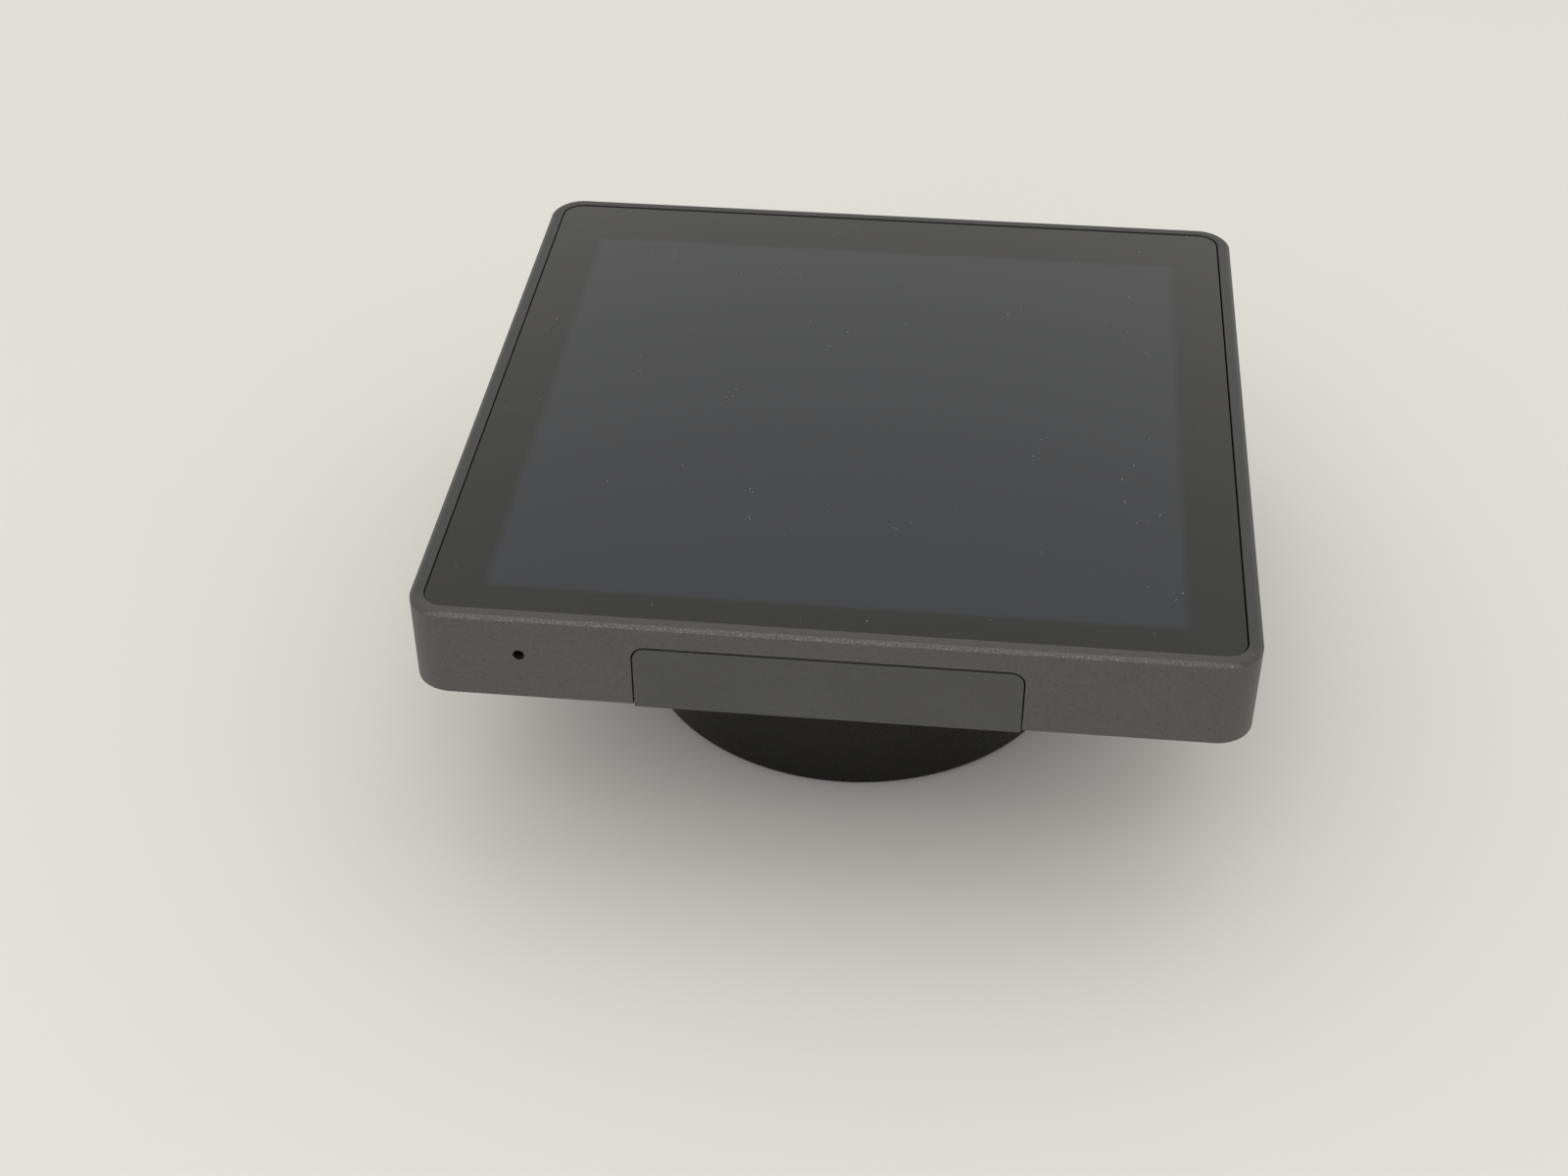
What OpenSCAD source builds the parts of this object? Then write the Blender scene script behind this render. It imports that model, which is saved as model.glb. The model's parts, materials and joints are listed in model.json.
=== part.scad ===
// Square touch-screen payment terminal on a round swivel base.
// The origin is at the centre of the underside of the foot pad: +Z up, the front (hatch side) facing -Y.

/* [Head] */
// Width and depth of the square head
head_w = 86; // [85.5:0.1:86.5]
// Thickness of the head
head_t = 10.5; // [10.4:0.1:10.8]
// Plan radius of the head's corners
corner_r = 3.9; // [3.5:0.1:4.2]
// Width of the rim around the glass
rim_w = 1.46; // [1.4:0.01:1.6]
// Width of the bevel along the rim's outer edge
bevel_w = 0.45; // [0.4:0.05:0.8]
// Drop of the bevel along the rim's outer edge
bevel_h = 0.35; // [0.2:0.05:0.5]
// Bevel along the head's lower edge
lower_bevel = 0.4; // [0.2:0.05:0.5]
// Height of the rim above the table
total_h = 35.8; // [35.6:0.1:36.4]

/* [Glass and display] */
// Gap between the glass and the rim
glass_gap = 0.11; // [0.1:0.01:0.25]
// Thickness of the cover glass
glass_t = 1.1; // [1:0.05:1.2]
// Depth of the glass below the rim
glass_recess = 0.13; // [0.05:0.01:0.2]
// Side of the square display module
display_w = 76.6; // [75:0.1:77]
// Shift of the display towards the front
display_shift = 0.8; // [0.5:0.1:0.9]

/* [Hatch] */
// Width of the hatch in the front edge
hatch_w = 39.4; // [38:0.1:40]
// Depth of the hatch's top edge below the rim
hatch_drop = 2.92; // [2.8:0.01:3.0]
// Thickness of the hatch
hatch_t = 1.8; // [1.7:0.05:1.9]
// Radius of the hatch's two upper corners
hatch_r = 1.35; // [0.8:0.05:1.5]
// Gap at the hatch's sides
hatch_gap = 0.15; // [0.1:0.01:0.2]
// Gap above the hatch
hatch_top_gap = 0.26; // [0.15:0.01:0.3]

/* [Front pinhole] */
// Distance of the pinhole from the middle of the front
pinhole_x = 31.35; // [29:0.05:32]
// Depth of the pinhole below the rim
pinhole_drop = 4.64; // [4.55:0.01:4.7]
// Diameter of the pinhole
pinhole_d = 1.15; // [0.9:0.05:1.3]

/* [Base] */
// Radius of the round base
base_r = 25.85; // [25.5:0.05:27]
// Wall thickness of the base shell
base_wall = 1.8; // [1.5:0.1:2]
// Turning angle of the head each way
swivel_limit = 150; // [90:5:150]

/* [Hidden] */
$fn = 64;
e = 0.02;

// Levels of the head, from the rim down
rim_z = total_h;
head_z = total_h - head_t;
glass_z = rim_z - glass_recess - glass_t;
adhesive_t = 0.15;
touch_z = glass_z - 0.2;
lcd_z = touch_z - 0.8;
backlight_z = lcd_z - 1.2;
deck_z = backlight_z - 0.07;
deck_t = 0.6;
deck_under = deck_z - deck_t;
cover_t = 1.4;
cover_z = head_z + cover_t;
board_z = cover_z + 2.3;
board_t = 0.8;
board_top = board_z + board_t;

// Plan sizes of the head
front_y = -head_w / 2;
wall = 1.6;
pocket_w = head_w - 2 * rim_w;
pocket_r = corner_r - rim_w;
well_w = pocket_w - 2.68;
cavity_w = head_w - 2 * wall;
board_w = cavity_w - 5.8;
cover_boss = cavity_w / 2 - 4.9;
board_bosses = [[-33, -24], [33, -24], [-33, 30], [33, 12]];
boss_r = 2.2;
screw_r = 0.8;

// Hatch, its hinge and the bay behind it
hinge_in = 0.95;
hinge_y = front_y + hinge_in;
hinge_z = head_z + hinge_in;
hinge_r = 0.5;
hatch_top = rim_z - hatch_drop;
bay_w = 35.8;
bay_z = head_z + 1.1;
bay_back = front_y + 12;
bay_wall = 1;
bay_block_w = hatch_w + 5;
seal_w = 35;
seal_h = 3.1;
seal_d = 0.8;
socket_mid_z = board_z + board_t / 2;
port_w = 8.94;
port_h = 3.26;
port_x = -13;
sim_x = -0.8;
memory_x = 12;
sim_w = 12.3;
memory_w = 11;
card_slot_h = 1.4;

// Speaker
speaker_x = -22;
speaker_y = 22;

// Buttons
pinhole_z = rim_z - pinhole_drop;
plunger_r = 0.8;
plunger_back = front_y + 4.7;
button_y = 22;
button_z = board_top + 0.5;
button_l = 9;
button_h = 2.4;
switch_w = 4.4;
switch_h = 1.8;

// Swivel
spindle_r = 5;
run_gap = 0.05;
flange_r = 17;
flange_t = 1.4;
flange_z = head_z - flange_t;
base_top = flange_z - 0.2;
base_top_t = 2.4;
bush_z = base_top - 4.8;
washer_t = 0.6;
ring_t = 0.7;
ring_z = bush_z - 2 * washer_t - ring_t;
spindle_z = ring_z - 1;
stop_r = 12.4;
stop_pin_r = 0.8;
spindle_screw_ring = 8.6;
glide_r = 15.3;
glide_w = 2.2;

// Base
base_rim_z = 0.4;
base_in_r = base_r - base_wall;
plate_z = 0.6;
plate_t = 1.8;
plate_r = base_in_r - 0.15;
ballast_z = plate_z + plate_t;
ballast_top = 16;
base_screw_ring = 18;
foot_r = base_r - 2.4;
fixing_r = 1.65;

module rounded(w, d, r) {
    square([w - 2 * r, d], center = true);
    square([w, d - 2 * r], center = true);
    for (x = [-1, 1], y = [-1, 1])
        translate([x * (w / 2 - r), y * (d / 2 - r)]) circle(r);
}

module slab(w, r, z0, z1, d = 0) {
    translate([0, 0, z0]) linear_extrude(z1 - z0) rounded(w, d == 0 ? w : d, r);
}

module block(x0, x1, y0, y1, z0, z1) {
    translate([x0, y0, z0]) cube([x1 - x0, y1 - y0, z1 - z0]);
}

module ring(r_out, r_in, z0, z1) {
    translate([0, 0, z0]) difference() {
        cylinder(r = r_out, h = z1 - z0);
        translate([0, 0, -1]) cylinder(r = r_in, h = z1 - z0 + 2);
    }
}

module frame(w_out, r_out, w_in, r_in, z0, z1) {
    difference() {
        slab(w_out, r_out, z0, z1);
        slab(w_in, r_in, z0 - 1, z1 + 1);
    }
}

// Cutter for a bevel round the head's plan: a section is swept along four sides and four corners
module edge_cut(section) {
    reach = head_w / 2 - corner_r;
    for (a = [0, 90, 180, 270]) rotate([0, 0, a]) {
        translate([reach, reach, 0]) rotate_extrude(angle = 90)
            translate([corner_r, 0]) polygon(section);
        translate([head_w / 2, reach, 0]) rotate([90, 0, 0])
            linear_extrude(2 * reach) polygon(section);
    }
}

module along_y(y0, y1, x, z, r) {
    translate([x, y0, z]) rotate([-90, 0, 0]) cylinder(r = r, h = y1 - y0);
}

module along_x(x0, x1, y, z, r) {
    translate([x0, y, z]) rotate([0, 90, 0]) cylinder(r = r, h = x1 - x0);
}

// A pill-shaped bar along Y, standing on its long side, from x0 to x1
module pill_x(x0, x1, y, z, l, h) {
    for (s = [-1, 1]) along_x(x0, x1, y + s * (l - h) / 2, z, h / 2);
    block(x0, x1, y - (l - h) / 2, y + (l - h) / 2, z - h / 2, z + h / 2);
}

// A pill-shaped bar through the front or back wall, from y0 to y1
module pill_y(y0, y1, x, z, l, h) {
    for (s = [-1, 1]) along_y(y0, y1, x + s * (l - h) / 2, z, h / 2);
    block(x - (l - h) / 2, x + (l - h) / 2, y0, y1, z - h / 2, z + h / 2);
}

// The hatch's outline seen from the front: square below, rounded above
module hatch_outline(side, above) {
    half = hatch_w / 2 + side;
    r = hatch_r + side;
    top = hatch_top + above;
    translate([-half, head_z]) square([2 * half, top - r - head_z]);
    translate([-half + r, head_z]) square([2 * (half - r), top - head_z]);
    for (x = [-1, 1]) translate([x * (half - r), top - r]) circle(r);
}

module hatch_slab(side, above, y0, y1) {
    translate([0, y1, 0]) rotate([90, 0, 0]) linear_extrude(y1 - y0) hatch_outline(side, above);
}

module screw(x, y, z_head, head_r, head_h, r, z_tip) {
    translate([x, y, 0]) difference() {
        union() {
            translate([0, 0, z_head]) cylinder(r = head_r, h = head_h);
            translate([0, 0, z_head + head_h - e]) cylinder(r = r, h = z_tip - z_head - head_h + e);
        }
        translate([0, 0, z_head - 1]) cylinder(r = head_r * 0.45, h = 1 + head_h * 0.5, $fn = 6);
    }
}

module at_corners(at) {
    for (x = [-1, 1], y = [-1, 1]) translate([x * at, y * at, 0]) children();
}

module on_circle(r, n, start) {
    for (i = [0 : n - 1]) rotate([0, 0, start + i * 360 / n]) translate([r, 0, 0]) children();
}

// ---- Head casing ----

module housing() color("#474745") difference() {
    union() {
        difference() {
            slab(head_w, corner_r, head_z, rim_z);
            edge_cut([[-bevel_w, rim_z], [-bevel_w, rim_z + 1], [1, rim_z + 1], [1, rim_z - bevel_h],
                      [0, rim_z - bevel_h]]);
            edge_cut([[-lower_bevel, head_z], [0, head_z + lower_bevel], [1, head_z + lower_bevel],
                      [1, head_z - 1], [-lower_bevel, head_z - 1]]);
            slab(pocket_w, pocket_r, glass_z - adhesive_t, rim_z + 1);
            slab(well_w, 2, deck_z, rim_z);
            slab(cavity_w, corner_r - wall, head_z - 1, deck_under);
        }
        block(-bay_block_w / 2, bay_block_w / 2, front_y + wall - e, bay_back + bay_wall, head_z, deck_under + e);
        at_corners(cover_boss) translate([0, 0, cover_z]) cylinder(r = boss_r, h = deck_z - cover_z - e);
        for (p = board_bosses) translate([p[0], p[1], board_top])
            cylinder(r = boss_r - 0.4, h = deck_z - board_top - e);
        along_y(front_y + wall - e, front_y + 3.6, -pinhole_x, pinhole_z, plunger_r + 0.45);
    }
    hatch_slab(hatch_gap, hatch_top_gap, front_y - 1, front_y + hatch_t + 0.05);
    block(-hatch_w / 2 - hatch_gap, hatch_w / 2 + hatch_gap, front_y - 1, front_y + hatch_t + 0.6,
          head_z - 1, bay_z + e);
    along_x(-hatch_w / 2 - hatch_gap, hatch_w / 2 + hatch_gap, hinge_y, hinge_z, hinge_in * sqrt(2) + 0.1);
    block(-bay_w / 2, bay_w / 2, front_y, bay_back, bay_z, deck_under);
    for (s = [-1, 1]) along_x(s * (hatch_w / 2 + 1.15) - 1.15, s * (hatch_w / 2 + 1.15) + 1.15,
                              hinge_y, hinge_z, hinge_r + run_gap);
    pill_y(bay_back - 1, bay_back + 2, port_x, socket_mid_z, port_w + 0.3, port_h + 0.3);
    for (s = [[sim_x, sim_w], [memory_x, memory_w]])
        block(s[0] - s[1] / 2 - 0.1, s[0] + s[1] / 2 + 0.1, bay_back - 1, bay_back + 2,
              board_top, board_top + card_slot_h + 0.1);
    along_y(front_y - 1, front_y + 1.5, -pinhole_x, pinhole_z, pinhole_d / 2);
    along_y(front_y + 1, front_y + 4.6, -pinhole_x, pinhole_z, plunger_r + run_gap);
    pill_y(head_w / 2 - 3, head_w / 2 + 1, 0, socket_mid_z, port_w + 0.4, port_h + 0.4);
    pill_x(head_w / 2 - 3, head_w / 2 + 1, button_y, button_z, button_l + 0.3, button_h + 0.3);
    for (f = [[-18, 14], [18, 9]])
        block(f[0] - f[1] / 2 - 0.5, f[0] + f[1] / 2 + 0.5, 37.8, 39.4, deck_under - 1, deck_z + 1);
    at_corners(cover_boss) translate([0, 0, cover_z - 1]) cylinder(r = screw_r, h = 5);
    for (p = board_bosses) translate([p[0], p[1], board_top - 1]) cylinder(r = screw_r, h = 2.6);
}

module rear_cover() color("#3c3c3a") difference() {
    union() {
        slab(cavity_w - 0.3, corner_r - wall, head_z, cover_z);
        translate([0, 0, cover_z - e]) cylinder(r = 12, h = 1.2 + e);
    }
    block(-bay_block_w / 2 - 0.15, bay_block_w / 2 + 0.15, front_y, bay_back + bay_wall + 0.15,
          head_z - 1, cover_z + 1);
    at_corners(cover_boss) {
        translate([0, 0, head_z - 1]) cylinder(r = 1.05, h = 4);
        translate([0, 0, head_z - 1]) cylinder(r = 1.9, h = 1.9);
    }
    on_circle(spindle_screw_ring, 3, 30) translate([0, 0, head_z - 1]) cylinder(r = screw_r, h = 3.2);
    for (i = [-3 : 3], j = [-1 : 1]) translate([speaker_x + i * 2, speaker_y + j * 2.4, head_z - 1])
        cylinder(r = 0.5, h = 4);
}

module rear_cover_screws() color("#2a2a2a")
    at_corners(cover_boss) screw(0, 0, head_z + 0.1, 1.75, 0.8, screw_r, cover_z + 3.2);

// ---- Glass and display ----

module cover_glass() color("#16181b")
    slab(pocket_w - 2 * glass_gap, pocket_r - glass_gap, glass_z, glass_z + glass_t);

module glass_adhesive() color("#202020")
    frame(pocket_w - 0.5, pocket_r - 0.25, well_w + 0.1, 2.05, glass_z - adhesive_t, glass_z);

module display_layer(w, z0, z1)
    translate([0, -display_shift, 0]) slab(w, 0.6, z0, z1);

module touch_film() color("#2b3036") display_layer(display_w, touch_z, glass_z);

module lcd_panel() color("#101217") display_layer(display_w - 0.4, lcd_z, touch_z);

module backlight() color("#b9bcc0") display_layer(display_w, backlight_z, lcd_z);

// A flat cable from the display's rear edge, down through the deck, to its connector on the board
module flat_cable(x, w, z_from) {
    rear = display_w / 2 - display_shift;
    t = 0.12;
    block(x - w / 2, x + w / 2, rear, 38.7, z_from, z_from + t);
    block(x - w / 2, x + w / 2, 38.7 - t, 38.7, board_top + 0.5, z_from + t);
    block(x - w / 2, x + w / 2, 36.2, 38.7, board_top + 0.5, board_top + 0.5 + t);
}

module display_flex() color("#b5651d") flat_cable(-18, 14, lcd_z + 0.2);

module touch_flex() color("#b5651d") flat_cable(18, 9, touch_z + 0.04);

module nfc_antenna() color("#b87333")
    frame(well_w - 0.4, 1.8, well_w - 2, 1, glass_z - 0.2, glass_z);

module nfc_ferrite() color("#3a3a3a")
    frame(well_w - 0.4, 1.8, well_w - 2, 1, glass_z - 0.5, glass_z - 0.2);

// ---- Electronics ----

module main_board() color("#1d5c3a") difference() {
    slab(board_w, 1.5, board_z, board_top);
    at_corners(cover_boss) translate([0, 0, board_z - 1]) cylinder(r = boss_r + 0.4, h = 3);
    block(-bay_block_w / 2 - 0.2, bay_block_w / 2 + 0.2, front_y, bay_back + bay_wall + 0.2,
          board_z - 1, board_top + 1);
    for (p = board_bosses) translate([p[0], p[1], board_z - 1]) cylinder(r = 1.05, h = 3);
    block(-port_w / 2 - 0.1, port_w / 2 + 0.1, 35.1, head_w / 2, board_z - 1, board_top + 1);
    block(port_x - port_w / 2 - 0.1, port_x + port_w / 2 + 0.1, bay_back, bay_back + 8.2,
          board_z - 1, board_top + 1);
}

module board_chips() color("#1a1a1c") {
    for (c = [[0, 5, 12, 12, 0.9], [-24, 6, 11, 11, 1], [-24, -10, 9, 8, 0.9], [24, -6, 7, 6, 0.8],
              [-8, 27, 6, 5, 0.8], [9, 27, 5, 5, 0.8], [26, 24, 6, 8, 1.1]])
        block(c[0] - c[2] / 2, c[0] + c[2] / 2, c[1] - c[3] / 2, c[1] + c[3] / 2,
              board_top, board_top + c[4]);
}

// Drawn can over a group of chips, open towards the board
module can(x, y, w, d, h, t) {
    difference() {
        block(x - w / 2, x + w / 2, y - d / 2, y + d / 2, board_top, board_top + h);
        block(x - w / 2 + t, x + w / 2 - t, y - d / 2 + t, y + d / 2 - t, board_top - 1, board_top + h - t);
    }
}

module security_cage() color("#c9a227") can(0, 5, 24, 22, 1.5, 0.25);

module radio_shield() color("#c0c2c4") can(24, -6, 14, 12, 1.4, 0.2);

module flex_connectors() color("#e8e4d8")
    for (f = [[-18, 14], [18, 9]])
        block(f[0] - f[1] / 2 - 0.8, f[0] + f[1] / 2 + 0.8, 33.2, 36.2, board_top, board_top + 1);

module backup_cell_holder() color("#e8e4d8") translate([22, 24, 0]) difference() {
    translate([0, 0, board_z - 1.9]) cylinder(r = 7.4, h = 1.9);
    translate([0, 0, board_z - 3]) cylinder(r = 6.3, h = 2.8);
}

module backup_cell() color("#c9ccce") translate([22, 24, board_z - 1.8]) cylinder(r = 6.25, h = 1.6);

module tamper_contacts() color("#333333")
    for (p = [[-14, 14], [14, 14], [-14, -14], [14, -14]])
        translate([p[0], p[1], cover_z]) cylinder(r = 1.6, h = board_z - cover_z);

// Push-in card socket on the board, its mouth at the bay's back wall
module card_socket(x, w, l) {
    difference() {
        block(x - w / 2, x + w / 2, bay_back + 0.1, bay_back + l, board_top, board_top + card_slot_h);
        block(x - w / 2 + 0.4, x + w / 2 - 0.4, bay_back - 1, bay_back + l - 1,
              board_top + 0.3, board_top + card_slot_h - 0.25);
    }
}

module sim_socket() color("#bfc2c5") card_socket(sim_x, sim_w, 13);

module memory_card_socket() color("#bfc2c5") card_socket(memory_x, memory_w, 14);

// USB-C receptacle: shell and tongue, its mouth at y0 and its back at y0 + l (l may be negative)
module receptacle(x, y0, l) {
    y1 = y0 + l;
    s = sign(l);
    difference() {
        pill_y(min(y0, y1), max(y0, y1), x, socket_mid_z, port_w, port_h);
        pill_y(min(y0 - s, y1 - s), max(y0 - s, y1 - s), x, socket_mid_z, port_w - 0.6, port_h - 0.6);
    }
    block(x - 3.35, x + 3.35, min(y0 + s, y1), max(y0 + s, y1), socket_mid_z - 0.35, socket_mid_z + 0.35);
}

module service_port() color("#b4b7ba") receptacle(port_x, bay_back + 0.1, 7.8);

module power_inlet() color("#b4b7ba") receptacle(0, head_w / 2 - 0.35, -7.35);

module at_speaker(w, d, z0, z1) {
    block(speaker_x - w / 2, speaker_x + w / 2, speaker_y - d / 2, speaker_y + d / 2, z0, z1);
}

module speaker() color("#222222") difference() {
    at_speaker(18, 12, cover_z + 0.15, board_z - 0.1);
    at_speaker(16, 10, cover_z, cover_z + 0.5);
}

module speaker_mesh() color("#151515") at_speaker(17, 11, cover_z, cover_z + 0.15);

module reset_switch() color("#c9ccce")
    block(-pinhole_x - switch_w / 2, -pinhole_x + switch_w / 2, plunger_back + 0.35, plunger_back + 3.3,
          board_top, board_top + switch_h);

module reset_plunger() color("#dcdcd8") {
    along_y(front_y + 1.1, front_y + 3.9, -pinhole_x, pinhole_z, plunger_r);
    along_y(front_y + 3.9 - e, plunger_back, -pinhole_x, pinhole_z, 0.5);
}

module power_switch() color("#c9ccce")
    block(head_w / 2 - 7.2, head_w / 2 - 3.8, button_y - switch_w / 2, button_y + switch_w / 2,
          board_top, board_top + switch_h);

module power_button() color("#3a3a38") {
    pill_x(head_w / 2 - 2.5, head_w / 2 - 0.05, button_y, button_z, button_l, button_h);
    block(head_w / 2 - 2.5, head_w / 2 - 1.7, button_y - 6.2, button_y + 6.2,
          button_z - button_h / 2, button_z + button_h / 2);
    block(head_w / 2 - 3.4, head_w / 2 - 2.5 + e, button_y - 1.5, button_y + 1.5,
          board_top + 0.2, button_z + 0.8);
}

module board_screws() color("#8d9093")
    for (p = board_bosses) screw(p[0], p[1], board_z - 0.9, 1.6, 0.9, screw_r, board_top + 1.4);

// ---- Hatch in the front edge ----

module hatch() color("#474845") difference() {
    hatch_slab(0, 0, front_y, front_y + hatch_t);
    for (s = [-1, 1]) along_x(s * (hatch_w / 2 - 1) - 1, s * (hatch_w / 2 - 1) + 1, hinge_y, hinge_z, hinge_r);
}

module hatch_seal() color("#1c1c1c") difference() {
    block(-seal_w / 2, seal_w / 2, front_y + hatch_t, front_y + hatch_t + seal_d,
          bay_z + 0.9, bay_z + 0.9 + seal_h);
    block(-seal_w / 2 + 1, seal_w / 2 - 1, front_y + hatch_t - 1, front_y + hatch_t + seal_d + 1,
          bay_z + 1.7, bay_z + 0.1 + seal_h);
}

module hatch_pins() color("#b9bcbf")
    for (s = [-1, 1]) along_x(s * hatch_w / 2 - 2 + (s > 0 ? 0 : 0.1), s * hatch_w / 2 + 2 - (s > 0 ? 0.1 : 0),
                              hinge_y, hinge_z, hinge_r);

// ---- Swivel ----

module spindle() color("#8a8d90") difference() {
    union() {
        translate([0, 0, flange_z]) cylinder(r = flange_r, h = flange_t);
        translate([0, 0, spindle_z]) cylinder(r = spindle_r, h = flange_z - spindle_z + e);
    }
    translate([0, 0, spindle_z - 1]) cylinder(r = 3, h = flange_z - spindle_z + 1.6);
    ring(spindle_r + 1, spindle_r - 0.6, ring_z, ring_z + ring_t);
    on_circle(spindle_screw_ring, 3, 30) {
        translate([0, 0, flange_z - 1]) cylinder(r = 1.05, h = 4);
        translate([0, 0, flange_z - 1]) cylinder(r = 1.95, h = 1.8);
    }
    stop_groove();
}

// Blind groove under the flange, in which the stop pin runs
module stop_groove() {
    half = stop_pin_r + 0.3;
    reach = swivel_limit + asin((stop_pin_r + 0.1) / stop_r);
    translate([0, 0, flange_z - 1]) rotate([0, 0, -90 - reach]) rotate_extrude(angle = 2 * reach)
        translate([stop_r - half, 0]) square([2 * half, 1.9]);
}

module spindle_screws() color("#2a2a2a")
    on_circle(spindle_screw_ring, 3, 30) screw(0, 0, flange_z + 0.1, 1.8, 0.7, screw_r, cover_z + 0.7);

module wave_washer() color("#9a9da0") ring(8, spindle_r + run_gap, bush_z - 2 * washer_t, bush_z - washer_t);

module retaining_ring() color("#55585a") difference() {
    ring(7.2, spindle_r - 0.6, ring_z, ring_z + ring_t);
    block(-1, 1, 0, 9, ring_z - 1, ring_z + 2);
}

module swivel_bush() color("#e6e2d4") difference() {
    union() {
        translate([0, 0, bush_z]) cylinder(r = 6.4, h = base_top - bush_z);
        translate([0, 0, base_top - 0.9]) cylinder(r = 7.2, h = 1);
    }
    translate([0, 0, bush_z - 1]) cylinder(r = spindle_r + run_gap, h = 8);
}

module thrust_washer() color("#b0b3b6") ring(8.5, spindle_r + 0.1, bush_z - washer_t, bush_z);

module glide_ring() color("#e6e2d4")
    ring(glide_r + glide_w / 2, glide_r - glide_w / 2, base_top - 0.8, base_top + 0.1);

module stop_pin() color("#9a9da0") translate([0, -stop_r, base_top - base_top_t + 0.4])
    cylinder(r = stop_pin_r, h = base_top_t + 0.6);

// ---- Base ----

// Outside profile of the base: straight wall, rounded upper edge, small lower bevel
module base_profile() {
    r = 1.2;
    bevel = 0.3;
    polygon([[0, base_rim_z], [base_r - bevel, base_rim_z], [base_r, base_rim_z + bevel],
             [base_r, base_top - r], [base_r - r, base_top], [0, base_top]]);
    intersection() {
        translate([base_r - r, base_top - r]) circle(r);
        translate([0, base_top - r]) square([base_r, r]);
    }
}

module base_shell() color("#1c1c1c") difference() {
    union() {
        difference() {
            rotate_extrude() base_profile();
            translate([0, 0, base_rim_z - 1]) cylinder(r = base_in_r, h = base_top - base_top_t - base_rim_z + 1);
        }
        translate([0, 0, bush_z]) cylinder(r = 8.5, h = base_top - base_top_t - bush_z + e);
        on_circle(base_screw_ring, 3, 90) translate([0, 0, ballast_top])
            cylinder(r = 3, h = base_top - base_top_t - ballast_top + e);
    }
    translate([0, 0, bush_z - 1]) cylinder(r = 6.4, h = 8);
    translate([0, 0, base_top - 0.9]) cylinder(r = 7.2, h = 2);
    ring(glide_r + glide_w / 2, glide_r - glide_w / 2, base_top - 0.8, base_top + 1);
    translate([0, -stop_r, base_top - base_top_t + 0.4]) cylinder(r = stop_pin_r, h = 4);
    on_circle(base_screw_ring, 3, 90) translate([0, 0, ballast_top - 1]) cylinder(r = 1, h = 5);
}

module ballast() color("#4a4d50") difference() {
    translate([0, 0, ballast_z]) cylinder(r = base_in_r - 0.3, h = ballast_top - ballast_z);
    translate([0, 0, ballast_z - 1]) cylinder(r = 9.2, h = 20);
    on_circle(base_screw_ring, 3, 90) translate([0, 0, ballast_z - 1]) cylinder(r = 1.5, h = 20);
}

module base_plate() color("#8f9295") difference() {
    translate([0, 0, plate_z]) cylinder(r = plate_r, h = plate_t);
    on_circle(base_screw_ring, 3, 90) {
        translate([0, 0, plate_z - 1]) cylinder(r = 1.4, h = 4);
        translate([0, 0, plate_z - 1]) cylinder(r = 2.5, h = 2.1);
    }
    translate([0, 0, plate_z - 1]) cylinder(r = 3, h = 4);
}

module base_screws() color("#2a2a2a")
    on_circle(base_screw_ring, 3, 90) screw(0, 0, plate_z + 0.1, 2.3, 1, 1, ballast_top + 3.5);

module fixing_insert() color("#c8a24a") {
    ring(3, fixing_r, plate_z, plate_z + plate_t + 3.2);
    ring(4.5, fixing_r, plate_z + plate_t, plate_z + plate_t + 3.2);
}

module foot_pad() color("#141414") ring(foot_r, 8, 0, plate_z);

housing();
cover_glass();
glass_adhesive();
touch_film();
lcd_panel();
backlight();
display_flex();
touch_flex();
nfc_antenna();
nfc_ferrite();
main_board();
board_chips();
security_cage();
radio_shield();
flex_connectors();
backup_cell_holder();
backup_cell();
tamper_contacts();
sim_socket();
memory_card_socket();
service_port();
power_inlet();
speaker();
speaker_mesh();
reset_switch();
reset_plunger();
power_switch();
power_button();
rear_cover();
rear_cover_screws();
board_screws();
hatch();
hatch_seal();
hatch_pins();
spindle();
spindle_screws();
wave_washer();
retaining_ring();
base_shell();
swivel_bush();
thrust_washer();
glide_ring();
stop_pin();
ballast();
base_plate();
base_screws();
foot_pad();
fixing_insert();
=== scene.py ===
import bpy
import bmesh
import json
import math
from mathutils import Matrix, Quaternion, Vector

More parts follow.
